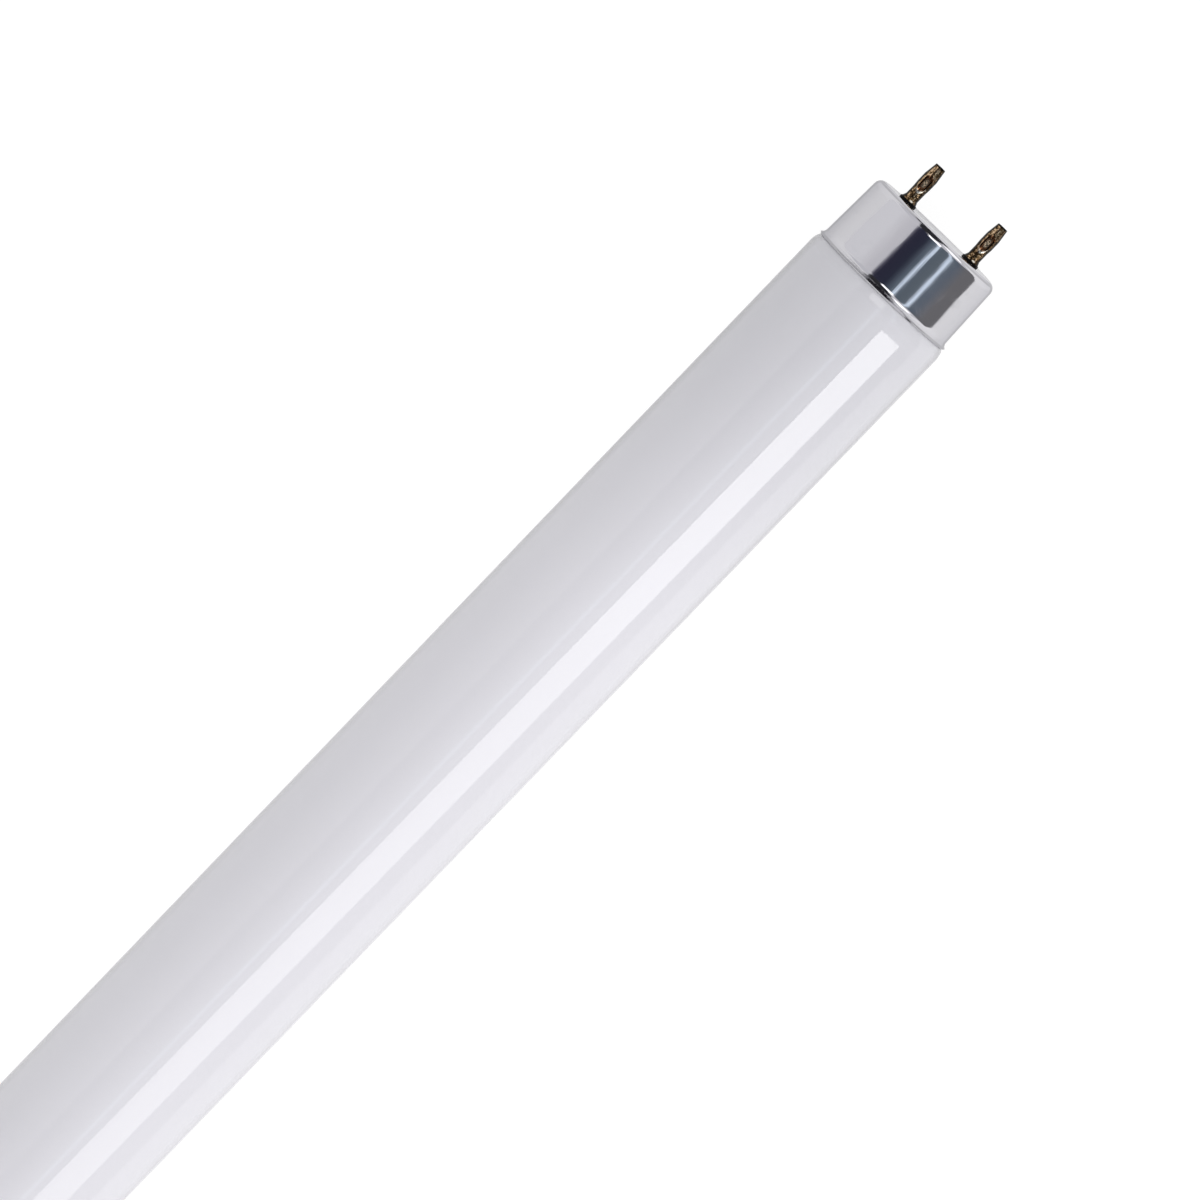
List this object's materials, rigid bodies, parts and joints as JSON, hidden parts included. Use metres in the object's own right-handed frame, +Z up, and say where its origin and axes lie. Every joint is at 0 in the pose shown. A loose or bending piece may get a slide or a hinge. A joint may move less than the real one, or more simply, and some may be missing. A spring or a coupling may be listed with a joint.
{
  "type": "fluorescent tube",
  "caption": "Straight fluorescent tube: a long white coated glass tube, drawn in at each end to an aluminium cap that carries a pair of hollow brass contact pins.",
  "frame": {"origin": "middle of the tube, on its axis, half-way between the two end faces", "axes": "+X along the tube to its right-hand cap, +Y across from the front pin to the back pin of each cap, +Z up"},
  "size_m": [0.6032, 0.0258, 0.0257],
  "materials": {
    "coated_glass": "glossy clear glass over a white powder coat that can't be seen through",
    "cap_metal": "bright drawn aluminium",
    "insulator_plastic": "black moulded phenolic",
    "cap_cement": "baked cement",
    "pin_brass": "aged brass",
    "lead_wire_metal": "nickel-iron wire"
  },
  "bodies": {
    "root": {"glass_tube": "coated_glass", "cap_right": "cap_metal", "insulator_right": "insulator_plastic", "cement_right": "cap_cement", "pin_right_front": "pin_brass", "lead_wire_right_front": "lead_wire_metal", "pin_right_back": "pin_brass", "lead_wire_right_back": "lead_wire_metal", "cap_left": "cap_metal", "insulator_left": "insulator_plastic", "cement_left": "cap_cement", "pin_left_front": "pin_brass", "lead_wire_left_front": "lead_wire_metal", "pin_left_back": "pin_brass", "lead_wire_left_back": "lead_wire_metal"}
  },
  "joints": []
}
